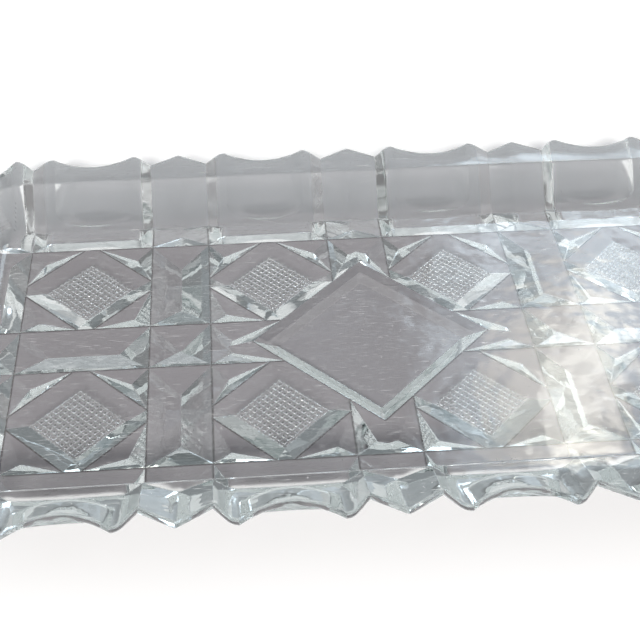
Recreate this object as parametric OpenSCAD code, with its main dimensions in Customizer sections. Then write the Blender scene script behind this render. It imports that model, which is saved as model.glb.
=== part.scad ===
// Crystal tray, oblong, with low flared walls and a wide flat rim.
// The inside is smooth. The pattern is cut into the underside and the outside:
// mitre grooves part wide and narrow columns and rows, with a plain diamond at the centre.
// The real tray is one piece of glass. It is drawn as its named zones, which meet face to face.
// The origin is the centre of the centre diamond's face, on which the tray stands.

/* [Cut pattern] */
// Width of the narrow columns and rows
narrow_w = 20; // [14:0.5:28]
// Width of the wide columns and rows
wide_w = 42.5; // [36:0.5:60]
// Width of the blunt tips of the diamonds in the wide squares
tip_w = 5.1; // [2:0.1:8]
// Height of the bars and of the centre diamond below the grooves
relief_h = 6; // [4:0.1:8]
// Height of the diamonds in the wide squares below the grooves
hobnail_h = 4; // [2.5:0.1:5]
// Width of the bevel round the centre diamond
bevel_w = 5.8; // [3:0.1:9]

/* [Floor] */
// Glass between the smooth floor and the bottom of the grooves
floor_t = 4; // [2.5:0.1:6]
// Flat floor between the edge of the pattern and the foot of the inner wall
border_w = 10; // [8:0.5:11]

/* [Walls] */
// Height of the rim above the bottom of the grooves
wall_h = 18; // [14:0.5:24]
// Upright band at the outer edge of the rim
band_h = 2; // [1:0.1:3]
// From the edge of the pattern to the inner edge of the rim's flat land
land_in = 20; // [17:0.5:22]
// From the edge of the pattern to the notches in the rim
flare_w = 29; // [27:0.5:33]
// Flat run of the wall grooves before they climb
groove_run = 12; // [11.5:0.5:14]
// Height of the ribs above the wall grooves
rib_h = 4.2; // [3:0.1:5]
// From a wall groove to the crest of the rib beside it, on a wide panel
rib_w = 7.2; // [5:0.1:9]
// Flat left along the crest of a rib, beside a flute
crest_flat = 0.5; // [0.3:0.1:1.5]

/* [Flutes] */
// How far a wall flute is hollowed at the rim, measured level
flute_d = 5.4; // [3:0.1:6]
// Plain glass between the foot of the wall and a wall flute
flute_foot = 4; // [2:0.5:6]
// From the corner of the pattern to the foot of the corner face, along the diagonal
corner_foot = 12; // [11.5:0.5:14]
// Radius of the hollow in a corner face
scoop_r = 60; // [50:1:80]
// Half width of that hollow where it meets the corner face
scoop_w = 20.6; // [16:0.1:21]
// Height of the middle of that hollow above the rim band, along the corner face
scoop_rise = 6; // [4:0.5:9]

/* [Hidden] */
$fn = 96;

// The pattern: four wide and three narrow columns, two wide rows and a narrow one
base_x = 2 * wide_w + 1.5 * narrow_w;
base_y = wide_w + narrow_w / 2;
column_x = narrow_w + wide_w; // from one narrow column to the next
square_x = (narrow_w + wide_w) / 2; // from the middle column to the wide one beside it
corner_leg = (wide_w - tip_w) / 2;
diamond_half = narrow_w + corner_leg;
mitre_rise = relief_h / (narrow_w / 2); // a bar's two flanks meet in a ridge at relief_h

// The walls: grooves run out level, then climb at climb_angle to the rim
band_z = wall_h - band_h;
climb_angle = atan(band_z / (flare_w - groove_run));
crest_out = flare_w + rib_h / sin(climb_angle);
inner_angle = atan((wall_h - floor_t) / (land_in - border_w));
wide_rise = rib_h / rib_w;
narrow_rise = rib_h / (narrow_w / 2);
crest_foot = groove_run - rib_h * sin(climb_angle) - band_h;

// Wall flutes, in the plane of the ribs' crests
sill_s = -rib_h * tan(climb_angle / 2); // the foot of the wall, along the climb
crest_gap = wide_w - 2 * rib_w;
chord = crest_gap - 2 * crest_flat;
flute_sag = flute_d * sin(climb_angle);
flute_r = (chord * chord / 4 + flute_sag * flute_sag) / (2 * flute_sag);
ease = band_h / 10; // the band's arcs are this much smaller, so they start clear of the flutes
band_d = flute_d - ease;
band_chord = chord - 2 * ease;
band_r = (band_chord * band_chord / 4 + band_d * band_d) / (2 * band_d);

// Corner faces, square to the diagonals
corner_rim = (rib_w + crest_out) / sqrt(2);
corner_angle = atan((band_z + rib_h) / (corner_rim - corner_foot));
corner_run = (band_z + rib_h) / sin(corner_angle);
corner_chord = (crest_out - rib_w) * sqrt(2);
scoop_sink = sqrt(scoop_r * scoop_r - scoop_w * scoop_w);
scoop_cut = sqrt(scoop_r * scoop_r - scoop_rise * scoop_rise) - scoop_sink;
corner_band_d = scoop_cut / sin(corner_angle) - ease;
corner_band_r = (corner_chord * corner_chord / 4 + corner_band_d * corner_band_d)
    / (2 * corner_band_d);

// Overruns of the cuts
over = floor_t / 4;
reach = 2 * (base_x + crest_out);

// Takes off what lies below a plane that holds the line from a to b and falls to its left
module flank_cut(a, b, rise) {
    translate([a[0], a[1], 0])
        rotate([0, 0, atan2(b[1] - a[1], b[0] - a[0])])
            rotate([-atan(rise), 0, 0])
                translate([-reach, -reach, -reach])
                    cube([2 * reach, 2 * reach, reach]);
}

// A block below the grooves. Each side of its outline falls inward at its own rise, and a rise
// of zero leaves that side upright. The outline runs counter-clockwise.
module relief_block(outline, rises, depth) {
    difference() {
        translate([0, 0, -depth])
            linear_extrude(depth)
                polygon(outline);
        for (i = [0 : len(outline) - 1])
            if (rises[i] > 0)
                flank_cut(outline[i], outline[(i + 1) % len(outline)], rises[i]);
    }
}

// The zones are drawn with the bottom of the grooves at zero, and this sets them on the table
module stand() {
    translate([0, 0, relief_h])
        children();
}

module glass() {
    color("gainsboro", 0.55)
        stand()
            children();
}

// Pattern zones

module centre_diamond() {
    glass()
        relief_block(
            [[diamond_half, 0], [0, diamond_half], [-diamond_half, 0], [0, -diamond_half]],
            [for (i = [0 : 3]) relief_h / bevel_w],
            relief_h
        );
}

// A wide square, centred: a blunt diamond, and a small point in each corner. The corner that
// the centre diamond takes is left out: it lies towards open, where open is [0, 0] for none.
module hobnail_square(open) {
    half = wide_w / 2;
    tip = tip_w / 2;
    relief_block(
        [[half, -tip], [half, tip], [tip, half], [-tip, half],
            [-half, tip], [-half, -tip], [-tip, -half], [tip, -half]],
        [for (i = [0 : 7]) mitre_rise],
        hobnail_h
    );
    for (i = [0 : 3])
        if (open != [sign(cos(45 + 90 * i)), sign(sin(45 + 90 * i))])
            rotate([0, 0, 90 * i])
                relief_block(
                    [[half, half], [half - corner_leg, half], [half, half - corner_leg]],
                    [for (j = [0 : 2]) mitre_rise],
                    relief_h
                );
}

// Squares 1 to 4 make the back row from the left, and 5 to 8 the front row
module hobnail_square_at(k) {
    column = k % 4;
    row = k < 4 ? 1 : -1;
    x = (column - 1.5) * column_x;
    inner = column == 1 || column == 2;
    glass()
        translate([x, row * square_x, 0])
            hobnail_square(inner ? [-sign(x), -row] : [0, 0]);
}

// Half of a bar that the centre diamond shortens. It lies along +Y on the side of -X.
module cut_bar_half() {
    relief_block(
        [[-narrow_w / 2, diamond_half - narrow_w / 2], [0, diamond_half],
            [0, base_y], [-narrow_w / 2, base_y]],
        [mitre_rise, 0, mitre_rise, mitre_rise],
        relief_h + over
    );
}

module cut_bar() {
    cut_bar_half();
    mirror([1, 0, 0])
        cut_bar_half();
}

// A whole bar or point, from corner to corner
module whole_bar(x0, y0, x1, y1) {
    relief_block(
        [[x0, y0], [x1, y0], [x1, y1], [x0, y1]],
        [for (i = [0 : 3]) mitre_rise],
        relief_h + over
    );
}

// Bars 1 to 4 lie in the middle row from the left
module long_bar_at(k) {
    glass()
        if (k == 1 || k == 2)
            rotate([0, 0, k == 1 ? 90 : -90])
                translate([0, narrow_w / 2 + wide_w - base_y, 0])
                    cut_bar();
        else
            translate([sign(k - 1.5) * 1.5 * column_x, 0, 0])
                whole_bar(-wide_w / 2, -narrow_w / 2, wide_w / 2, narrow_w / 2);
}

// Bars 1 to 3 cross the back row from the left, and 4 to 6 the front row
module cross_bar_at(k) {
    column = k % 3 - 1;
    turn = k < 3 ? 0 : 180;
    glass()
        rotate([0, 0, turn])
            if (column == 0)
                cut_bar();
            else
                translate([(turn == 0 ? column : -column) * column_x, 0, 0])
                    whole_bar(-narrow_w / 2, narrow_w / 2, narrow_w / 2, base_y);
}

module cross_point_at(side) {
    glass()
        translate([side * column_x, 0, 0])
            whole_bar(-narrow_w / 2, -narrow_w / 2, narrow_w / 2, narrow_w / 2);
}

// Wall grooves. Along a wall they stand at these places, from its middle.

function groove_places(wide_count) = wide_count == 4
    ? [for (s = [-1, 1], u = [narrow_w / 2, narrow_w / 2 + wide_w,
        1.5 * narrow_w + wide_w, base_x]) s * u]
    : [for (s = [-1, 1], u = [narrow_w / 2, base_y]) s * u];

function panel_places(wide_count) = wide_count == 4
    ? [-1.5 * column_x, -column_x / 2, column_x / 2, 1.5 * column_x]
    : [-square_x, square_x];

// True where the panel to the right of a groove is a narrow one
function narrow_right(u) = abs(abs(u + narrow_w / 2) % column_x) < over
    || abs(abs(u + narrow_w / 2) % column_x - column_x) < over;

function narrow_left(u) = narrow_right(-u);

module groove_shape(u) {
    depth = rib_h + over;
    left = narrow_left(u) ? narrow_rise : wide_rise;
    right = narrow_right(u) ? narrow_rise : wide_rise;
    polygon([[0, 0], [-depth / left, -depth], [depth / right, -depth]]);
}

// One groove: a level run, and a climb
module wall_groove(u) {
    translate([u, reach / 2, 0])
        rotate([90, 0, 0])
            linear_extrude(reach)
                groove_shape(u);
    climb()
        translate([u, reach / 2, 0])
            rotate([90, 0, 0])
                linear_extrude(reach)
                    groove_shape(u);
}

// The frame of the climbing grooves: Y runs up the wall and Z stands off it, into the glass
module climb() {
    translate([0, groove_run, 0])
        rotate([climb_angle, 0, 0])
            children();
}

module crest_cut() {
    climb()
        translate([-reach, -reach, -rib_h - reach])
            cube([2 * reach, 2 * reach, reach]);
}

module wall_flute(u) {
    foot = sill_s + flute_foot + chord / 2;
    climb()
        translate([u, foot, flute_sag - rib_h - flute_r])
            rotate([-90, 0, 0])
                rotate_extrude() {
                    intersection() {
                        circle(flute_r);
                        translate([0, -flute_r])
                            square(flute_r);
                    }
                    square([flute_r, reach]);
                }
    translate([u, crest_out - band_d + band_r, 0])
        cylinder(r = band_r, h = wall_h + over);
}

module inner_wall_cut() {
    translate([0, border_w, floor_t])
        rotate([inner_angle, 0, 0])
            translate([-reach, -reach, 0])
                cube([2 * reach, 2 * reach, reach]);
}

// A straight wall, along X, with Y outward from the edge of the pattern
module wall(wide_count) {
    half = wide_count == 4 ? base_x : base_y;
    outline = concat(
        [[-half, border_w], [half, border_w], [half, flare_w]],
        wide_count == 4
            ? [for (i = [0 : 3]) for (p = panel_points(1.5 * column_x - i * column_x, i < 3)) p]
            : [for (i = [0 : 1]) for (p = panel_points(square_x - 2 * i * square_x, i < 1)) p]
    );
    difference() {
        translate([0, 0, -rib_h])
            linear_extrude(rib_h + wall_h)
                polygon(outline);
        inner_wall_cut();
        crest_cut();
        for (u = groove_places(wide_count))
            wall_groove(u);
        for (u = panel_places(wide_count))
            wall_flute(u);
    }
}

// The rim's points over a wide panel, from right to left, and over the narrow one after it
function panel_points(u, then_narrow) = concat(
    [[u + wide_w / 2 - rib_w, crest_out], [u - wide_w / 2 + rib_w, crest_out],
        [u - wide_w / 2, flare_w]],
    then_narrow
        ? [[u - column_x / 2, crest_out], [u - wide_w / 2 - narrow_w, flare_w]]
        : []
);

// The frame of a corner face: Y runs up it and Z stands off it, into the glass
module corner_climb() {
    rotate([0, 0, -45])
        translate([0, corner_rim, band_z])
            rotate([corner_angle, 0, 0])
                children();
}

module corner_hollow() {
    corner_climb()
        translate([0, scoop_rise, -scoop_sink])
            sphere(scoop_r);
    rotate([0, 0, -45])
        translate([0, corner_rim - corner_band_d + corner_band_r, 0])
            cylinder(r = corner_band_r, h = wall_h + over);
}

// Half a corner of the tray, between a wall's last groove and the diagonal.
// The corner of the pattern is at the origin, and the wall lies to the left.
module wall_end() {
    middle = (rib_w + crest_out) / 2;
    difference() {
        translate([0, 0, -rib_h])
            linear_extrude(rib_h + wall_h)
                polygon([[0, 0], [middle, middle], [rib_w, crest_out], [0, flare_w]]);
        translate([0, 0, -rib_h - over])
            cylinder(r = border_w, h = rib_h + floor_t + 2 * over);
        translate([0, 0, floor_t])
            cylinder(
                r1 = border_w,
                r2 = land_in + over / tan(inner_angle),
                h = wall_h - floor_t + over
            );
        corner_climb()
            translate([-reach, -reach, -reach])
                cube([2 * reach, 2 * reach, reach]);
        flank_cut([0, over], [0, 0], wide_rise);
        flank_cut([0, 0], [over, 0], wide_rise);
        climb()
            flank_cut([0, over], [0, 0], wide_rise);
        corner_hollow();
    }
}

// The border of the floor carries the feet of the wall's ribs

module border_side(wide_count) {
    half = wide_count == 4 ? base_x : base_y;
    difference() {
        relief_block(
            [[-half, 0], [half, 0], [half, border_w], [-half, border_w]],
            [mitre_rise, 0, 0, 0],
            rib_h
        );
        for (u = groove_places(wide_count))
            wall_groove(u);
    }
}

module border_corner() {
    difference() {
        translate([0, 0, -rib_h])
            intersection() {
                cylinder(r = border_w, h = rib_h);
                cube([border_w, border_w, rib_h]);
            }
        flank_cut([0, over], [0, 0], wide_rise);
        flank_cut([0, 0], [over, 0], wide_rise);
    }
}

module floor() {
    glass() {
        linear_extrude(floor_t) {
            square([2 * base_x, 2 * (base_y + border_w)], center = true);
            square([2 * (base_x + border_w), 2 * base_y], center = true);
            for (sx = [-1, 1], sy = [-1, 1])
                translate([sx * base_x, sy * base_y])
                    circle(border_w);
        }
        for (i = [0, 2])
            side(i)
                border_side(4);
        for (i = [1, 3])
            side(i)
                border_side(2);
        for (i = [0, 2]) {
            side(i)
                translate([base_x, 0, 0])
                    border_corner();
            side(i)
                mirror([1, 0, 0])
                    translate([base_x, 0, 0])
                        border_corner();
        }
    }
}

// Sides 0 to 3 are the back, left, front and right. The Y of a side points outward.
module side(i) {
    rotate([0, 0, 90 * i])
        translate([0, i % 2 == 0 ? base_y : base_x, 0])
            children();
}

module wall_at(i) {
    glass()
        side(i)
            wall(i % 2 == 0 ? 4 : 2);
}

// The end of wall i on its right, seen from inside the tray, or on its left
module wall_end_at(i, right) {
    half = i % 2 == 0 ? base_x : base_y;
    glass()
        side(i)
            mirror([right ? 0 : 1, 0, 0])
                translate([half, 0, 0])
                    wall_end();
}

floor();
centre_diamond();
for (k = [0 : 7])
    hobnail_square_at(k);
for (k = [0 : 3])
    long_bar_at(k);
for (k = [0 : 5])
    cross_bar_at(k);
cross_point_at(-1);  // cross_point_1
cross_point_at(1);  // cross_point_2
wall_at(0);  // back_wall
wall_end_at(0, false);  // back_wall_left_end
wall_end_at(0, true);  // back_wall_right_end
wall_at(1);  // left_wall
wall_end_at(1, false);  // left_wall_front_end
wall_end_at(1, true);  // left_wall_back_end
wall_at(2);  // front_wall
wall_end_at(2, false);  // front_wall_right_end
wall_end_at(2, true);  // front_wall_left_end
wall_at(3);  // right_wall
wall_end_at(3, false);  // right_wall_back_end
wall_end_at(3, true);  // right_wall_front_end
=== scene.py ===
import math

import bmesh
import bpy
from mathutils import Matrix, Vector


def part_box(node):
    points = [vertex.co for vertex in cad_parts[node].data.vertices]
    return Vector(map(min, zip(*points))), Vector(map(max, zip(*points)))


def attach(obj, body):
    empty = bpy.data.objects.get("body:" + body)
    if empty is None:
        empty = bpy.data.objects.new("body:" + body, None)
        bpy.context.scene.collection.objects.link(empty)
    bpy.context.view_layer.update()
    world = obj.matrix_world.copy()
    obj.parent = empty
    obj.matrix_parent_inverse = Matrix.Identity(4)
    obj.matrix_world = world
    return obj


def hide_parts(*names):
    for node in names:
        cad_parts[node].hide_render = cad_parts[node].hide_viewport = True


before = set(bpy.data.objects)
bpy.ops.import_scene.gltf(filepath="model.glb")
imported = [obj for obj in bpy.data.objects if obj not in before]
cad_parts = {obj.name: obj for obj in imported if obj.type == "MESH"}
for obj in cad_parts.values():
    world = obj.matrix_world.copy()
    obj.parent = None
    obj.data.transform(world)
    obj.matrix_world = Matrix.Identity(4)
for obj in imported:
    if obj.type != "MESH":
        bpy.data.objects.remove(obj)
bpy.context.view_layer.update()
mm = 0.001
print("frame loaded,", len(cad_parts), "zones")


def hexColour(code):
    # sRGB hex to linear
    parts = [int(code[i:i + 2], 16) / 255 for i in (1, 3, 5)]
    return [c / 12.92 if c <= 0.04045 else ((c + 0.055) / 1.055) ** 2.4 for c in parts] + [1.0]


def nodeSize(node):
    low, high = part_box(node)
    return (high - low) / mm


# Sizes in millimetres. Heights are measured from the bottom of the grooves.
narrow = nodeSize("cross_point_1").x
wide = nodeSize("hobnail_square_1").x
diamondHalf = nodeSize("centre_diamond").x / 2
relief = nodeSize("centre_diamond").z
baseX = 2 * wide + 1.5 * narrow
baseY = wide + narrow / 2
columnStep = narrow + wide
speck = 1e-9
leastArea = 1e-4


def quarterTurn(turns):
    # Cosine and sine of a number of right angles
    return round(math.cos(turns * math.pi / 2)), round(math.sin(turns * math.pi / 2))


# Planes are z = p[0] * x + p[1] * y + p[2]

def slopeFrom(a, b, rise):
    # Holds the line from a to b and falls to its left
    dx, dy = b[0] - a[0], b[1] - a[1]
    run = math.hypot(dx, dy)
    nx, ny = -dy / run, dx / run
    return (-rise * nx, -rise * ny, rise * (nx * a[0] + ny * a[1]))


def heightOn(plane, x, y):
    return plane[0] * x + plane[1] * y + plane[2]


def clip(outline, line):
    # Keeps the side of a convex outline where line is not negative
    kept = []
    for here, after in zip(outline, outline[1:] + outline[:1]):
        h, a = heightOn(line, *here), heightOn(line, *after)
        if h > -speck:
            kept.append(here)
        if (h > speck and a < -speck) or (h < -speck and a > speck):
            t = h / (h - a)
            kept.append((here[0] + t * (after[0] - here[0]), here[1] + t * (after[1] - here[1])))
    return kept


def area(outline):
    return 0.5 * sum(a[0] * b[1] - b[0] * a[1]
                     for a, b in zip(outline, outline[1:] + outline[:1]))


def facets(outline, planes):
    # The glass over an outline ends at the highest of the planes that cut it
    found = []
    for i, plane in enumerate(planes):
        share = outline
        for j, other in enumerate(planes):
            if j != i and len(share) > 2:
                share = clip(share, [p - o for p, o in zip(plane, other)])
        if len(share) > 2 and area(share) > leastArea:
            found.append((plane, share))
    return found


shell = bmesh.new()


def addFace(points):
    made = [shell.verts.new(p) for p in points]
    shell.faces.new(made)


def addFacets(outline, planes, place):
    for plane, share in facets(outline, planes):
        addFace([place(x, y, heightOn(plane, x, y)) for x, y in share])


def addGrid(rows):
    # Quads between rows of points. Neighbours that coincide are welded later.
    for low, high in zip(rows, rows[1:]):
        for i in range(len(low) - 1):
            addFace([low[i], low[i + 1], high[i + 1], high[i]])


def shifted(x0, y0):
    return lambda x, y, z: (x + x0, y + y0, z)


# The pattern under the floor. A rise is how much a facet climbs in each millimetre across.
cutting = {
    "mitreRise": 0.56,                    # so a bar's ridge ends just above the diamond's face
    "hobnailDepth": nodeSize("hobnail_square_1").z,
    "cornerLeg": diamondHalf - narrow,
    "bevelWidth": 5.8,                    # of the centre diamond
    "pointsAcross": 10,                   # tiny points in a row on a hobnail diamond
    "pointDepth": 0.6,                    # the tiny points are blunt
    "pointRise": 1.04,
}


def cutBlock(outline, rises, depth, place):
    planes = [slopeFrom(a, b, r)
              for a, b, r in zip(outline, outline[1:] + outline[:1], rises) if r]
    if depth:
        planes.append((0, 0, -depth))
    addFacets(outline, planes, place)


def hobnailDiamond(place):
    half, tip = wide / 2, wide / 2 - cutting["cornerLeg"]
    depth, rise = cutting["hobnailDepth"], cutting["mitreRise"]
    octagon = [(half, -tip), (half, tip), (tip, half), (-tip, half),
               (-half, tip), (-half, -tip), (-tip, -half), (tip, -half)]
    flanks = [slopeFrom(a, b, rise) for a, b in zip(octagon, octagon[1:] + octagon[:1])]
    edgeOut = (half + tip) / math.sqrt(2)
    pitch = 2 * (edgeOut - depth / rise) / cutting["pointsAcross"]
    count = cutting["pointsAcross"] // 2 + 1
    r = math.sqrt(0.5)

    def turned(p, q):
        return (r * (p - q), r * (p + q))

    # Ring of flank round the points
    edge = count * pitch
    for k in range(4):
        c, s = quarterTurn(k)
        out, along = (r * (c - s), r * (c + s)), (r * (-s - c), r * (c - s))
        ring = clip(octagon, (out[0], out[1], -edge))
        ring = clip(ring, (out[0] - along[0], out[1] - along[1], 0))
        ring = clip(ring, (out[0] + along[0], out[1] + along[1], 0))
        if len(ring) > 2:
            addFacets(ring, flanks, place)
    # One small square cell for each point, and for each gap round the edge
    for i in range(-count, count):
        for j in range(-count, count):
            p0, q0 = i * pitch, j * pitch
            corners = [turned(p0, q0), turned(p0 + pitch, q0),
                       turned(p0 + pitch, q0 + pitch), turned(p0, q0 + pitch)]
            cell = corners
            for line in [(-1, 0, half), (1, 0, half), (0, -1, half), (0, 1, half)]:
                cell = clip(cell, line)
            points = []
            for a, b in zip(corners, corners[1:] + corners[:1]):
                wall = slopeFrom(a, b, cutting["pointRise"])
                points.append((wall[0], wall[1], wall[2] - depth + cutting["pointDepth"]))
            addFacets(cell, points + flanks + [(0, 0, -depth)], place)


def cornerPoint(sx, sy, place):
    half, leg, rise = wide / 2, cutting["cornerLeg"], cutting["mitreRise"]
    outline = [(sx * half, sy * half), (sx * (half - leg), sy * half),
               (sx * half, sy * (half - leg))]
    if area(outline) < 0:
        outline.reverse()
    cutBlock(outline, [rise] * 3, None, place)


def makePattern():
    rise = cutting["mitreRise"]
    n, tip = narrow / 2, diamondHalf
    cutBlock([(tip, 0), (0, tip), (-tip, 0), (0, -tip)], [relief / cutting["bevelWidth"]] * 4,
             relief, shifted(0, 0))
    for column in (-1.5, -0.5, 0.5, 1.5):
        for row in (-1, 1):
            x0, y0 = column * columnStep, row * (n + wide / 2)
            place = shifted(x0, y0)
            hobnailDiamond(place)
            for sx in (-1, 1):
                for sy in (-1, 1):
                    underDiamond = abs(column) < 1 and sx * column < 0 and sy * row < 0
                    if not underDiamond:
                        cornerPoint(sx, sy, place)

    def bar(x0, y0, x1, y1):
        cutBlock([(x0, y0), (x1, y0), (x1, y1), (x0, y1)], [rise] * 4, None, shifted(0, 0))

    for side in (-1, 1):
        x = side * 1.5 * columnStep
        bar(x - wide / 2, -n, x + wide / 2, n)                    # long bars
        bar(side * columnStep - n, -n, side * columnStep + n, n)  # pointed squares
        for column in (-1, 1):                                    # cross bars
            x = column * columnStep
            y0, y1 = sorted((side * n, side * baseY))
            bar(x - n, y0, x + n, y1)
    # Bars that the centre diamond shortens, in halves
    for end, turn in ((baseY, 0), (baseY, 2), (n + wide, 1), (n + wide, 3)):
        c, s = quarterTurn(turn)
        for flip in (-1, 1):
            outline = [(flip * -n, tip - n), (0, tip), (0, end), (flip * -n, end)]
            rises = [rise, 0, rise, rise]
            if flip < 0:
                outline = [outline[1], outline[0], outline[3], outline[2]]
                rises = [rise, rise, rise, 0]
            cutBlock(outline, rises, None,
                     lambda x, y, z, c=c, s=s: (c * x - s * y, s * x + c * y, z))


# The walls
wallCut = {
    "bandHeight": 2.0,
    "floorTop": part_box("floor")[1].z / mm - relief,
    "rimTop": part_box("back_wall")[1].z / mm - relief,
    "footOut": nodeSize("floor").y / 2 - baseY,   # where the inner wall stands on the floor
    "landIn": 20.0,                       # from the pattern's edge to the land's inner edge
    "notchOut": 29.0,                     # and to the outline between two panels
    "grooveRun": 12.0,                    # a groove runs on level this far, then climbs
    "ribHeight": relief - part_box("floor")[0].z / mm,
    "ribWidth": 7.2,
    "fluteDepth": 5.4,
    "fluteFoot": 4.0,
    "footStretch": 2.0,                   # a flute's rounded foot is this much shorter than wide
    "ribRise": 0.82,                      # a rib climbs steeply from its groove, then rounds over
    "crestSoft": 1.3,                     # how far the fire-polishing rounds a crest
    "toothSoft": 0.6,
    "rimSoft": 0.9,
    "crestEnd": 0.8,                      # the rows of points are close together up to here
    "sideSteps": (3, 10, 8),              # up a rib's side, round its crest, across half a flute
    "toothSteps": 6,
    "riseSteps": 12,
    "risePower": 1.5,                     # closer together at a flute's foot
    "rimTries": 20,                       # rounds of coming closer to where the rim cuts a rib
    "rimSteps": 5,
    "landBend": 1.2,                      # keeps the inset of sharp corners short
}
wallCut["climb"] = math.atan((wallCut["rimTop"] - wallCut["bandHeight"])
                             / (wallCut["notchOut"] - wallCut["grooveRun"]))


def softMin(a, b, width):
    reach = max(width - abs(a - b), 0)
    return min(a, b) - reach * reach / (4 * width)


def softMax(a, b, width):
    return -softMin(-a, -b, width) if width > 0 else max(a, b)


def spread(start, end, steps):
    return [start + (end - start) * (i / steps) for i in range(steps + 1)]


def onClimb(u, s, depth):
    # From a place on the climb, depth below the line of the grooves, to (u, out, z)
    a = wallCut["climb"]
    return (u, wallCut["grooveRun"] + s * math.cos(a) + depth * math.sin(a),
            s * math.sin(a) - depth * math.cos(a))


def panelRows(width, broad):
    # One wall panel between two grooves, as rows of (u, out, z) from the pattern to the rim
    a, high = wallCut["climb"], wallCut["ribHeight"]
    bandZ = wallCut["rimTop"] - wallCut["bandHeight"]
    crest = wallCut["ribWidth"] if broad else width / 2
    rise = wallCut["ribRise"] if broad else high / crest
    soft = wallCut["crestSoft"] if broad else wallCut["toothSoft"]
    half = width / 2
    chord = half - crest
    sag = wallCut["fluteDepth"] * math.sin(a) if broad else 0
    radius = (chord * chord + sag * sag) / (2 * sag) if broad else 0
    stretch = wallCut["footStretch"]
    sill = -high * math.tan(a / 2)
    foot = sill + wallCut["fluteFoot"] + chord / stretch
    zone = soft / rise
    if broad:
        sideSteps, crestSteps, fluteSteps = wallCut["sideSteps"]
        crestEnd = wallCut["crestEnd"] - chord
        us = spread(-half, -half + (high - soft) / rise, sideSteps)
        us += spread(us[-1], crestEnd, crestSteps)[1:]
        us += spread(crestEnd, 0, fluteSteps)[1:]
        us += [-u for u in us[-2::-1]]
    else:
        us = [-half, -half / 2] + spread(-zone, zone, wallCut["toothSteps"]) + [half / 2, half]

    def flank(u):
        return rise * (half - abs(u))

    def hollow(u, s):
        if not broad or abs(u) >= chord:
            return 0
        below = stretch * max(foot - s, 0)
        inner = radius * radius - u * u - below * below
        return max(0, math.sqrt(max(inner, 0)) - (radius - sag))

    def depthAt(u, s):
        width = soft * min(1, (half - abs(u)) / (crest / 4))
        return softMin(flank(u), high - hollow(u, s), width) if width > 0 else 0

    rows = [[(u, 0, 0) for u in us]]
    deep = [depthAt(u, sill) for u in us]
    rows.append([(u, p / cutting["mitreRise"], -p) for u, p in zip(us, deep)])
    bend = math.tan(a / 2)
    rows.append([(u, wallCut["grooveRun"] + p * bend, -p) for u, p in zip(us, deep)])
    starts = []
    for u in us:
        inner = chord * chord - u * u
        starts.append(foot - math.sqrt(inner) / stretch if broad and inner > 0 else foot)
    for j in range(wallCut["riseSteps"] + 1):
        share = (j / wallCut["riseSteps"]) ** wallCut["risePower"]
        row = []
        for u, start, p in zip(us, starts, deep):
            if j == 0:
                row.append(onClimb(u, start, p))
                continue
            s = start
            for _ in range(wallCut["rimTries"]):
                depth = depthAt(u, s)
                top = (bandZ + depth * math.cos(a)) / math.sin(a)
                s = start + (top - start) * share
            row.append(onClimb(u, s, depthAt(u, s)))
        rows.append(row)
    return rows


cornerCut = {
    "sag": 3.4,                           # how far the corner's face is scooped out
    "scoopFoot": 14.0,                    # the scoop fades out this far from the rim
    "soft": 0.8,
    "softFrom": 2,                        # fully soft this far from the groove
    "crestSteps": 8,
    "arcSteps": 20,
    "lowSteps": 14,                       # rows on the level part and on the climb
    "highSteps": 20,
}


def cornerRows():
    # A corner between the last grooves of two walls, as rows from the pattern's corner outward.
    # Places are (x, y, z) from the pattern's corner, with x and y outward.
    a, high, run = wallCut["climb"], wallCut["ribHeight"], wallCut["grooveRun"]
    bandZ = wallCut["rimTop"] - wallCut["bandHeight"]
    crest, rise = wallCut["ribWidth"], wallCut["ribRise"]
    crestOut = wallCut["notchOut"] + high / math.sin(a)
    rimOut = (crest + crestOut) / math.sqrt(2)
    faceRise = (bandZ + high) / (rimOut - run)
    chord = (crestOut - crest) / math.sqrt(2)
    sag, scoopFoot = cornerCut["sag"], cornerCut["scoopFoot"]

    def rib(x):
        width = wallCut["crestSoft"] * min(1, x / (crest / 4))
        return softMin(rise * x, high, width) if width > 0 else 0

    def height(x, y):
        x, y = min(x, y), max(x, y)
        width = cornerCut["soft"] * min(1, x / cornerCut["softFrom"])
        out = (x + y) / math.sqrt(2)
        across = (y - x) / math.sqrt(2)
        reach = min(1, max(0, (out - (rimOut - scoopFoot)) / scoopFoot))
        half = chord * (out - run) / (rimOut - run) if out > run else 1
        scoop = sag * max(0, 1 - (across / max(half, 1)) ** 2) * reach ** 0.5
        level = softMax(-rib(x), -rib(y), width)
        face = (out - run) * faceRise - high + scoop
        climbing = (y - run) * math.tan(a) - rib(x) / math.cos(a)
        return softMax(softMax(level, climbing, width), face, width)

    # Along the rim over half a rib, round the scoop and over half the next rib
    crestSteps, arcSteps = cornerCut["crestSteps"], cornerCut["arcSteps"]
    rim = []
    for i in range(crestSteps + 1):
        x = crest * i / crestSteps
        rim.append((x, wallCut["notchOut"] + rib(x) / math.sin(a)))
    for i in range(1, arcSteps + 1):
        across = chord * (1 - i / arcSteps)
        out = rimOut - (sag / faceRise) * (1 - (across / chord) ** 2)
        rim.append(((out - across) / math.sqrt(2), (out + across) / math.sqrt(2)))
    rim += [(y, x) for x, y in rim[-2::-1]]
    bend = run / wallCut["notchOut"]
    shares = spread(0, bend, cornerCut["lowSteps"]) + spread(bend, 1, cornerCut["highSteps"])[1:]
    return [[(x * t, y * t, bandZ if t == 1 else height(x * t, y * t)) for x, y in rim]
            for t in shares]


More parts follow.
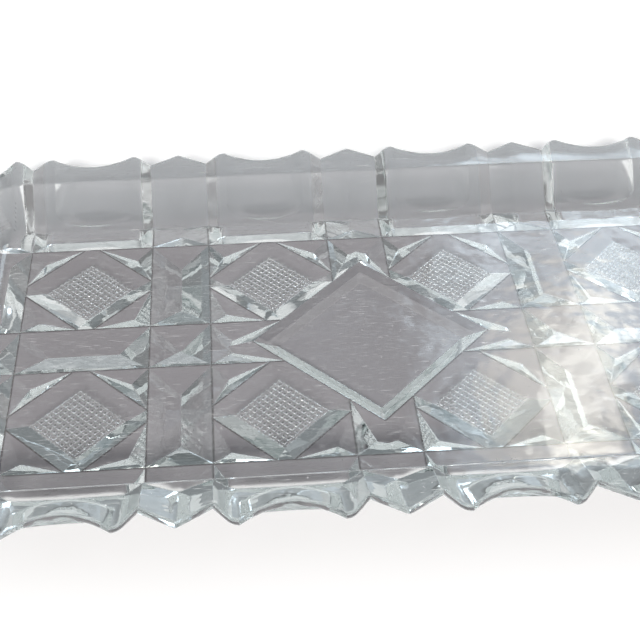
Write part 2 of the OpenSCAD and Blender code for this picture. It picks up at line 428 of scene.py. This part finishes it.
def sidePlace(side):
    # Sides 0 to 3 are the back, left, front and right. The outward way of each is its y.
    c, s = quarterTurn(side)
    edge = baseY if side % 2 == 0 else baseX

    def place(u, out, z, along=0):
        x, y = u + along, out + edge
        return (c * x - s * y, s * x + c * y, z)
    return place


inside = {"filletRadius": 6.0, "lipRadius": 1.2, "arcSteps": 8, "turnSteps": 16}


def insideProfile():
    # From the rim's land down the inner wall to the flat floor, as (out, z)
    land, foot = wallCut["landIn"], wallCut["footOut"]
    top, low = wallCut["rimTop"], wallCut["floorTop"]
    turn = math.atan2(top - low, land - foot)
    lip, fillet = inside["lipRadius"], inside["filletRadius"]
    steps = inside["arcSteps"]
    lipRun, filletRun = lip * math.tan(turn / 2), fillet * math.tan(turn / 2)
    points = []
    for i in range(steps + 1):
        t = turn * i / steps
        points.append((land + lipRun - lip * math.sin(t), top - lip + lip * math.cos(t)))
    for i in range(steps + 1):
        t = turn * (1 - i / steps)
        points.append((foot - filletRun + fillet * math.sin(t),
                       low + fillet - fillet * math.cos(t)))
    return points


def outlineOffset(loop, distance):
    # Moves a closed outline inward, square to itself
    moved = []
    for before, here, after in zip(loop[-1:] + loop[:-1], loop, loop[1:] + loop[:1]):
        a = Vector((here[0] - before[0], here[1] - before[1])).normalized()
        b = Vector((after[0] - here[0], after[1] - here[1])).normalized()
        na, nb = Vector((-a.y, a.x)), Vector((-b.y, b.x))
        both = na + nb
        step = na
        if both.length > 0:
            step = both * (2 * distance / max(both.length_squared, wallCut["landBend"]))
        moved.append((here[0] + step.x, here[1] + step.y))
    return moved


def makeWalls():
    # Gives the rim's parts, anticlockwise: its side, whether it is a corner, and its (x, y)
    rim = []
    corner = cornerRows()
    for side in range(4):
        place = sidePlace(side)
        half = baseX if side % 2 == 0 else baseY
        spots = ([(1.5, True), (1, False), (0.5, True), (0, False),
                  (-0.5, True), (-1, False), (-1.5, True)] if side % 2 == 0
                 else [(0.5, True), (0, False), (-0.5, True)])
        for spot, broad in spots:
            rows = panelRows(wide if broad else narrow, broad)
            rows = [[place(u, out, z, spot * columnStep) for u, out, z in row] for row in rows]
            addGrid(rows)
            rim.append((side, False, [p[:2] for p in reversed(rows[-1])]))
        rows = [[place(-half - x, y, z) for x, y, z in row] for row in corner]
        addGrid(rows)
        rim.append((side, True, [p[:2] for p in rows[-1]]))
    return rim


def makeRim(rim):
    # The upright band, its fire-polished edge and the flat land
    top, soft, rimSteps = wallCut["rimTop"], wallCut["rimSoft"], wallCut["rimSteps"]
    foot = top - wallCut["bandHeight"]
    loop = []
    for _, _, part in rim:
        loop += part[:-1]
    levels = [(0, foot), (0, top - soft)]
    for i in range(1, rimSteps + 1):
        t = math.pi / 2 * i / rimSteps
        levels.append((soft * (1 - math.cos(t)), top - soft + soft * math.sin(t)))
    rings = [[(x, y, z) for x, y in (outlineOffset(loop, inset) if inset else loop)]
             for inset, z in levels]
    addGrid([ring + ring[:1] for ring in rings])

    profile = insideProfile()
    land = profile[0][0]
    edge = rings[-1]
    at = 0
    for side, isCorner, part in rim:
        outer = [edge[(at + i) % len(edge)] for i in range(len(part))]
        at += len(part) - 1
        bridge(outer, landEdge(side, isCorner, part, land, top))
    return profile


def bridge(outer, inner):
    # Triangles between two lines of points that run side by side
    i, j = 0, 0
    ends = len(outer) - 1, len(inner) - 1
    while (i, j) != ends:
        if i * ends[1] <= j * ends[0] and i < ends[0]:
            addFace([outer[i], outer[i + 1], inner[j]])
            i += 1
        else:
            addFace([outer[i], inner[j + 1], inner[j]])
            j += 1


def landEdge(side, isCorner, part, land, top):
    # The land's inner edge beside a part of the rim
    if isCorner:
        steps = inside["turnSteps"]
        return [cornerPlace(side, land, top, i / steps) for i in range(steps + 1)]
    place = sidePlace(side)
    c, s = quarterTurn(side)
    return [place(c * x + s * y, land, top) for x, y in part]


def cornerPlace(side, out, z, t):
    # Round the corner of the pattern that ends a side, from that side's wall to the next
    place = sidePlace(side)
    half = baseX if side % 2 == 0 else baseY
    angle = math.pi / 2 * t
    return place(-half - out * math.sin(angle), out * math.cos(angle), z)


def makeInside(profile):
    steps = inside["turnSteps"]
    rings = []
    for out, z in profile:
        ring = []
        for side in range(4):
            ring += [cornerPlace(side, out, z, i / steps) for i in range(steps + 1)]
        rings.append(ring)
    addGrid([ring + ring[:1] for ring in rings])
    addFace(rings[-1])


# Distances in millimetres, far below the smallest facet. The cell only makes the search short.
weld = {"same": 2e-3, "onEdge": 5e-3, "last": 6e-3, "flat": 1e-3, "speck": 1e-4,
        "cell": 4.0, "rounds": 3}


def cornersNear(edge, cells):
    # How far along an edge each corner is that lies on it, as shares of its length
    a, b = edge.verts
    start, way = a.co, b.co - a.co
    lows = [int(min(a.co[k], b.co[k]) // weld["cell"]) - 1 for k in (0, 1)]
    highs = [int(max(a.co[k], b.co[k]) // weld["cell"]) + 1 for k in (0, 1)]
    found = []
    for i in range(lows[0], highs[0] + 1):
        for j in range(lows[1], highs[1] + 1):
            for v in cells.get((i, j), ()):
                if v is a or v is b:
                    continue
                t = (v.co - start).dot(way) / (way.length * way.length)
                if 0 < t < 1 and (start + t * way - v.co).length < weld["onEdge"]:
                    found.append(t)
    return sorted(found)


def stitch():
    # Welds the faces, and lets in the corners that lie on a neighbour's longer edge
    bmesh.ops.remove_doubles(shell, verts=shell.verts, dist=weld["same"])
    for _ in range(weld["rounds"]):
        loose = [e for e in shell.edges if len(e.link_faces) < 2]
        if not loose:
            break
        cells = {}
        for v in {v for e in loose for v in e.verts}:
            cell = int(v.co.x // weld["cell"]), int(v.co.y // weld["cell"])
            cells.setdefault(cell, []).append(v)
        for edge in loose:
            near, end = edge.verts
            start, way = near.co.copy(), end.co - near.co
            length = way.length
            if length < weld["speck"]:
                continue
            done = 0.0
            for t in cornersNear(edge, cells):
                if (t - done) * length < weld["same"] or (1 - t) * length < weld["same"]:
                    continue
                edge, new = bmesh.utils.edge_split(edge, near, (t - done) / (1 - done))
                new.co = start + t * way
                rest = [e for e in new.link_edges if end in e.verts]
                edge = rest[0] if rest else edge
                near, done = new, t
        bmesh.ops.remove_doubles(shell, verts=shell.verts, dist=weld["last"])
    bmesh.ops.dissolve_degenerate(shell, edges=shell.edges, dist=weld["flat"])
    bmesh.ops.recalc_face_normals(shell, faces=shell.faces)
    loose = sum(1 for e in shell.edges if len(e.link_faces) != 2)
    print("glass shell:", len(shell.verts), "corners,", len(shell.faces), "faces,",
          loose, "loose edges")


makePattern()
print("pattern cut")
makeInside(makeRim(makeWalls()))
print("walls, rim and inside made")
stitch()

sharpAngle = 18   # degrees: below it a fold is shaded as a curve

for v in shell.verts:
    v.co = Vector((v.co.x, v.co.y, v.co.z + relief)) * mm
mesh = bpy.data.meshes.new("crystalTray")
shell.to_mesh(mesh)
tray = bpy.data.objects.new("crystal_tray", mesh)
bpy.context.scene.collection.objects.link(tray)
mesh.polygons.foreach_set("use_smooth", [True] * len(mesh.polygons))
mesh.set_sharp_from_angle(angle=math.radians(sharpAngle))


def addNode(tree, kind, links=(), **settings):
    # Settings are the node's own or its sockets'. A node in the links stands for its first output.
    node = tree.nodes.new("ShaderNode" + kind)
    for name, value in settings.items():
        if hasattr(node, name):
            setattr(node, name, value)
        else:
            node.inputs[name.replace("_", " ")].default_value = value
    for socket, source in dict(links).items():
        tree.links.new(getattr(source, "outputs", [source])[0], node.inputs[socket])
    return node


# Sizes in millimetres. A tilt is the upright share of a face's direction: 1 where it is level.
crystal = {
    "ior": 1.52,
    "tint": "#bfc6c5",
    "tintDensity": 10.0,
    "clean": "#fbfcfc",
    # Painted shade: the next colour is painted along the bottoms of the grooves
    "grooveShade": "#5d5856",
    "grooveShadeSolid": 0.1,                     # above and below the bottom of a groove
    "grooveShadeEnd": 0.3,
    "grooveShadeTilt": (0.76, 0.84),
    "scratches": [(4, 8), (63, 6), (-38, 5)],   # turn in degrees and length
    "scratchWidth": 0.4,                  # of the noise: it draws them 0.2 wide, the real ones
    "scratchShare": (0.67, 0.80),         # are about 0.1. They are sparse, so near its top.
    "dustSize": 1.1,                      # of the noise: its highest spots are 0.2 to 0.4 across
    "dustShare": (0.71, 0.76),
    "wornTilt": (0.8, 0.99),
    "mattTop": 3.1,                       # the tiny points end below this height
    "mattEdge": 0.1,
    "pointTilt": (0.67, 0.69, 0.70, 0.72),   # matt from the second to the third
    # A white matt share on the tiny points, partly their matt finish and partly a painted
    # highlight
    "pointMattAndHighlight": 0.5,
    # A white matt share on the rib sides, which is a painted highlight
    "ribAslant": (0.325, 0.333),          # a direction's sideways and backward shares, multiplied
    "ribTilt": (0.54, 0.555, 0.57, 0.585),
    "ribHighlightShare": 0.6,
    "wearAndHighlightTransmission": 0.6,
    "wornRoughness": 0.15,
    "edgeRadius": 0.6,
    "waveSize": 11,
    "waveDepth": 0.14,
    "shadowSteep": "#747071",
    "shadowLevel": "#c1bec0",
    "shadowTilt": (0.45, 0.85),
    "leaving": "#eef0f0",
    "turnsKept": 3.5,                     # light that was turned more often leaves
}


def leadCrystal():
    # Lead crystal, pressed and fire-polished: clear, with a faint grey in the thick parts
    material = bpy.data.materials.new("leadCrystalFirePolished")
    material.use_nodes = True
    tree = material.node_tree
    glass = tree.nodes["Principled BSDF"]
    glass.inputs["IOR"].default_value = crystal["ior"]
    output = tree.nodes["Material Output"]
    tint = addNode(tree, "VolumeAbsorption", Color=hexColour(crystal["tint"]),
                   Density=crystal["tintDensity"])
    tree.links.new(tint.outputs[0], output.inputs["Volume"])

    place = addNode(tree, "TexCoord").outputs["Object"]
    height = addNode(tree, "SeparateXYZ", {0: place}).outputs["Z"]
    facing = addNode(tree, "NewGeometry").outputs["True Normal"]
    facing = addNode(tree, "SeparateXYZ", {0: facing})
    level = addNode(tree, "Math", {0: facing.outputs["Z"]}, operation="ABSOLUTE")

    # Painted shade: a dark grey is painted along the bottoms of the pattern's grooves, for the
    # dark lines their rounded bottoms show
    solid, end = crystal["grooveShadeSolid"], crystal["grooveShadeEnd"]
    above = addNode(tree, "MapRange", {0: height}, From_Min=(relief - end) * mm,
                    From_Max=(relief - solid) * mm)
    below = addNode(tree, "MapRange", {0: height}, From_Min=(relief + end) * mm,
                    From_Max=(relief + solid) * mm)
    grooveShade = addNode(tree, "Math", {0: above, 1: below}, operation="MINIMUM")
    low, high = crystal["grooveShadeTilt"]
    near = addNode(tree, "MapRange", {0: level}, From_Min=low, From_Max=high)
    grooveShade = addNode(tree, "Math", {0: grooveShade, 1: near}, operation="MULTIPLY")
    grooveShadeRamp = addNode(tree, "ValToRGB", {0: grooveShade})
    grooveShadeRamp.color_ramp.elements[0].color = hexColour(crystal["clean"])
    grooveShadeRamp.color_ramp.elements[1].color = hexColour(crystal["grooveShade"])
    tree.links.new(grooveShadeRamp.outputs[0], glass.inputs["Base Color"])

    # Dust and fine use scratches take the shine off the level faces
    dust = addNode(tree, "TexNoise", {"Vector": place}, Scale=1 / (crystal["dustSize"] * mm))
    low, high = crystal["dustShare"]
    worn = addNode(tree, "MapRange", {0: dust}, From_Min=low, From_Max=high)
    low, high = crystal["scratchShare"]
    for turn, length in crystal["scratches"]:
        way = addNode(tree, "Mapping", {0: place}, Rotation=(0, 0, math.radians(turn)),
                      Scale=(1 / (length * mm), 1 / (crystal["scratchWidth"] * mm), 0))
        lines = addNode(tree, "TexNoise", {"Vector": way}, Scale=1.0, Detail=1.0)
        lines = addNode(tree, "MapRange", {0: lines}, From_Min=low, From_Max=high)
        worn = addNode(tree, "Math", {0: worn, 1: lines}, operation="MAXIMUM")
    low, high = crystal["wornTilt"]
    flat = addNode(tree, "MapRange", {0: level}, From_Min=low, From_Max=high)
    worn = addNode(tree, "Math", {0: worn, 1: flat}, operation="MULTIPLY")
    rough = addNode(tree, "MapRange", {0: worn}, To_Max=crystal["wornRoughness"])
    tree.links.new(rough.outputs[0], glass.inputs["Roughness"])

    # The mould leaves the tiny points, whose sides slope at 46 degrees, a little matt, and their
    # white matt share is also a painted highlight for the light their facets catch. The same white
    # share on the walls' rib sides, which alone are this steep both ways, is a painted highlight
    # only.
    points = addNode(tree, "MapRange", {0: height}, From_Max=crystal["mattTop"] * mm,
                     From_Min=(crystal["mattTop"] + crystal["mattEdge"]) * mm)
    across = addNode(tree, "Math", {0: facing.outputs["X"], 1: facing.outputs["Y"]},
                     operation="MULTIPLY")
    across = addNode(tree, "Math", {0: across}, operation="ABSOLUTE")
    low, high = crystal["ribAslant"]
    ribHighlight = addNode(tree, "MapRange", {0: across}, From_Min=low, From_Max=high)
    wearAndHighlight = worn
    for part, tilts, share in ((points, crystal["pointTilt"], crystal["pointMattAndHighlight"]),
                               (ribHighlight, crystal["ribTilt"], crystal["ribHighlightShare"])):
        steep = addNode(tree, "MapRange", {0: level}, From_Min=tilts[0], From_Max=tilts[1])
        gentle = addNode(tree, "MapRange", {0: level}, From_Min=tilts[3], From_Max=tilts[2],
                         To_Max=share)
        part = addNode(tree, "Math", {0: part, 1: steep}, operation="MULTIPLY")
        part = addNode(tree, "Math", {0: part, 1: gentle}, operation="MULTIPLY")
        wearAndHighlight = addNode(tree, "Math", {0: wearAndHighlight, 1: part}, operation="MAXIMUM")
    clear = addNode(tree, "MapRange", {0: wearAndHighlight}, To_Min=1.0, To_Max=crystal["wearAndHighlightTransmission"])
    tree.links.new(clear.outputs[0], glass.inputs["Transmission Weight"])

    # Fire-polishing rounds every edge, and the faces are a little wavy
    edges = addNode(tree, "Bevel", Radius=crystal["edgeRadius"] * mm, samples=4)
    waves = addNode(tree, "TexNoise", {"Vector": place}, Scale=1 / (crystal["waveSize"] * mm))
    wavy = addNode(tree, "Bump", {"Height": waves, "Normal": edges}, Strength=1.0,
                   Distance=crystal["waveDepth"] * mm)
    tree.links.new(wavy.outputs[0], glass.inputs["Normal"])

    # Sloping glass turns the lamps' light aside, so its shadow is darker than that of level glass
    low, high = crystal["shadowTilt"]
    tone = addNode(tree, "MapRange", {0: level}, From_Min=low, From_Max=high)
    tone = addNode(tree, "ValToRGB", {0: tone})
    tone.color_ramp.elements[0].color = hexColour(crystal["shadowSteep"])
    tone.color_ramp.elements[1].color = hexColour(crystal["shadowLevel"])
    shadow = addNode(tree, "BsdfTransparent", {0: tone})
    light = addNode(tree, "LightPath")
    shaded = addNode(tree, "Math", {0: light.outputs["Is Shadow Ray"],
                                    1: light.outputs["Is Diffuse Ray"]}, operation="MAXIMUM")
    seen = addNode(tree, "MixShader", {0: shaded, 1: glass, 2: shadow})
    # Light that has been turned often enough leaves the glass, so that no facet ends up black
    trapped = addNode(tree, "Math", {0: light.outputs["Ray Depth"]}, operation="GREATER_THAN")
    trapped.inputs[1].default_value = crystal["turnsKept"]
    leaving = addNode(tree, "BsdfTransparent", Color=hexColour(crystal["leaving"]))
    seen = addNode(tree, "MixShader", {0: trapped, 1: seen, 2: leaving})
    tree.links.new(seen.outputs[0], output.inputs["Surface"])
    return material


mesh.materials.append(leadCrystal())
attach(tray, "root")
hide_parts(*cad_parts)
print("tray made")

# In metres. The gap keeps the tray clear of the floor.
paleFloor = {"half": 1.5, "gap": 0.0004, "paint": "#fcfcfc", "roughness": 0.9, "sheen": 0.2}


def makeFloor():
    half, gap = paleFloor["half"], paleFloor["gap"]
    data = bpy.data.meshes.new("paleFloor")
    plate = bmesh.new()
    for x, y in ((-1, -1), (1, -1), (1, 1), (-1, 1)):
        plate.verts.new((x * half, y * half, -gap))
    plate.faces.new(plate.verts)
    plate.to_mesh(data)
    floor = bpy.data.objects.new("pale_floor", data)
    bpy.context.scene.collection.objects.link(floor)
    # Matt wall paint, rolled on: an even white without a sheen
    paint = bpy.data.materials.new("mattPaintRolled")
    paint.use_nodes = True
    coat = paint.node_tree.nodes["Principled BSDF"]
    coat.inputs["Base Color"].default_value = hexColour(paleFloor["paint"])
    coat.inputs["Roughness"].default_value = paleFloor["roughness"]
    coat.inputs["Specular IOR Level"].default_value = paleFloor["sheen"]
    data.materials.append(paint)


makeFloor()
print("floor made")

# The camera, solved from the crossings of the grooves. The target and the distance are in narrow
# columns, the lens, the sensor and the target's height in millimetres, and the rest in degrees.
shot = {"lens": 68.23, "sensor": 36, "yaw": -5.01, "pitch": 41.17, "roll": 0.44,
        "target": (-0.807, 0.431), "targetHeight": 8.2, "distance": 20.201}


def addCamera():
    yaw, pitch, roll = (math.radians(shot[k]) for k in ("yaw", "pitch", "roll"))
    back = Vector((math.sin(yaw) * math.cos(pitch), -math.cos(yaw) * math.cos(pitch),
                   math.sin(pitch)))
    right = Vector((math.cos(yaw), math.sin(yaw), 0))
    up = back.cross(right)
    side = right * math.cos(roll) + up * math.sin(roll)
    top = up * math.cos(roll) - right * math.sin(roll)
    target = Vector((shot["target"][0] * narrow, shot["target"][1] * narrow,
                     shot["targetHeight"])) * mm
    data = bpy.data.cameras.new("photoView")
    data.sensor_width = shot["sensor"]
    data.lens = shot["lens"]
    camera = bpy.data.objects.new("photoView", data)
    place = target + back * shot["distance"] * narrow * mm
    camera.matrix_world = Matrix([[side[i], top[i], back[i], place[i]] for i in range(3)]
                                 + [[0, 0, 0, 1]])
    bpy.context.scene.collection.objects.link(camera)
    bpy.context.scene.camera = camera


addCamera()
print("camera placed")

room = {
    "front": "#929192", "back": "#999da0", "horizon": "#fbfbfb", "backWay": (0, 0.78, 0.62),
    "backTurn": (0.15, 0.85),
    "wallFoot": (0.15, 0.5),              # the white low down gives way to the walls
    "cloudScale": 16,                     # the windows are unevenly bright
    "cloudCut": (0.38, 0.62),
    "cloudTone": (0.55, 1.3),
    # Way to the middle, colour, strength, half its width and softness of its edge in degrees
    "windows": [((0.0, 0.9, 0.44), "#f3f7fa", 0.2, 12, 6),
                ((0.30, 0.72, 0.62), "#dde9f5", 0.5, 14, 9),
                ((0.30, 0.72, 0.63), "#dceefa", 4.6, 8.0, 2.0),
                ((0.245, 0.70, 0.67), "#ffefd0", 5.6, 2.6, 1.2),
                ((0.28, 0.66, 0.70), "#fff2da", 4.0, 1.6, 1.0)],
}


def makeRoom():
    # A pale room: lighter behind the tray, with bright windows there to the right
    world = bpy.data.worlds.new("paleRoom")
    bpy.context.scene.world = world
    world.use_nodes = True
    tree = world.node_tree
    way = addNode(tree, "TexCoord").outputs["Generated"]
    toBack = addNode(tree, "VectorMath", {0: way}, operation="DOT_PRODUCT")
    toBack.inputs[1].default_value = Vector(room["backWay"]).normalized()
    low, high = room["backTurn"]
    depth = addNode(tree, "MapRange", {0: toBack.outputs["Value"]}, From_Min=low, From_Max=high)
    walls = addNode(tree, "ValToRGB", {0: depth})
    walls.color_ramp.elements[0].color = hexColour(room["front"])
    walls.color_ramp.elements[1].color = hexColour(room["back"])
    upper = addNode(tree, "Background", {0: walls})
    height = addNode(tree, "SeparateXYZ", {0: way}).outputs["Z"]
    low, high = room["wallFoot"]
    height = addNode(tree, "MapRange", {0: height}, interpolation_type="SMOOTHSTEP",
                     From_Min=low, From_Max=high)
    plain = tree.nodes["Background"]
    plain.inputs["Color"].default_value = hexColour(room["horizon"])
    total = addNode(tree, "MixShader", {0: height, 1: plain, 2: upper})
    cloud = addNode(tree, "TexNoise", {"Vector": way}, Scale=room["cloudScale"])
    low, high = room["cloudCut"]
    dim, bright = room["cloudTone"]
    cloud = addNode(tree, "MapRange", {0: cloud}, From_Min=low, From_Max=high, To_Min=dim,
                    To_Max=bright)
    for middle, colour, strength, half, soft in room["windows"]:
        toPane = addNode(tree, "VectorMath", {0: way}, operation="DOT_PRODUCT")
        toPane.inputs[1].default_value = Vector(middle).normalized()
        pane = addNode(tree, "MapRange", {0: toPane.outputs["Value"]},
                       interpolation_type="SMOOTHSTEP", To_Max=strength,
                       From_Min=math.cos(math.radians(half + soft)),
                       From_Max=math.cos(math.radians(max(half - soft, 0))))
        broken = addNode(tree, "Math", {0: pane, 1: cloud}, operation="MULTIPLY")
        glow = addNode(tree, "Background", {"Strength": broken}, Color=hexColour(colour))
        total = addNode(tree, "AddShader", {0: total, 1: glow})
    tree.links.new(total.outputs[0], tree.nodes["World Output"].inputs["Surface"])


makeRoom()
print("room made with", len(room["windows"]), "windows")


# In metres. It only fills: the windows make the glints.
softbox = {"place": (-0.35, -3.26, 2.35), "side": 0.5, "watts": 206, "light": "#fffdfb"}


def addSoftbox():
    data = bpy.data.lights.new("keySoftbox", "AREA")
    data.shape = "SQUARE"
    data.size = softbox["side"]
    data.energy = softbox["watts"]
    data.color = hexColour(softbox["light"])[:3]
    lamp = bpy.data.objects.new("keySoftbox", data)
    lamp.location = softbox["place"]
    lamp.rotation_mode = "QUATERNION"
    lamp.rotation_quaternion = (-Vector(softbox["place"])).to_track_quat("-Z", "Y")
    lamp.visible_glossy = False
    lamp.visible_transmission = False
    bpy.context.scene.collection.objects.link(lamp)


addSoftbox()
print("softbox placed")

bpy.context.scene.view_settings.view_transform = "Standard"
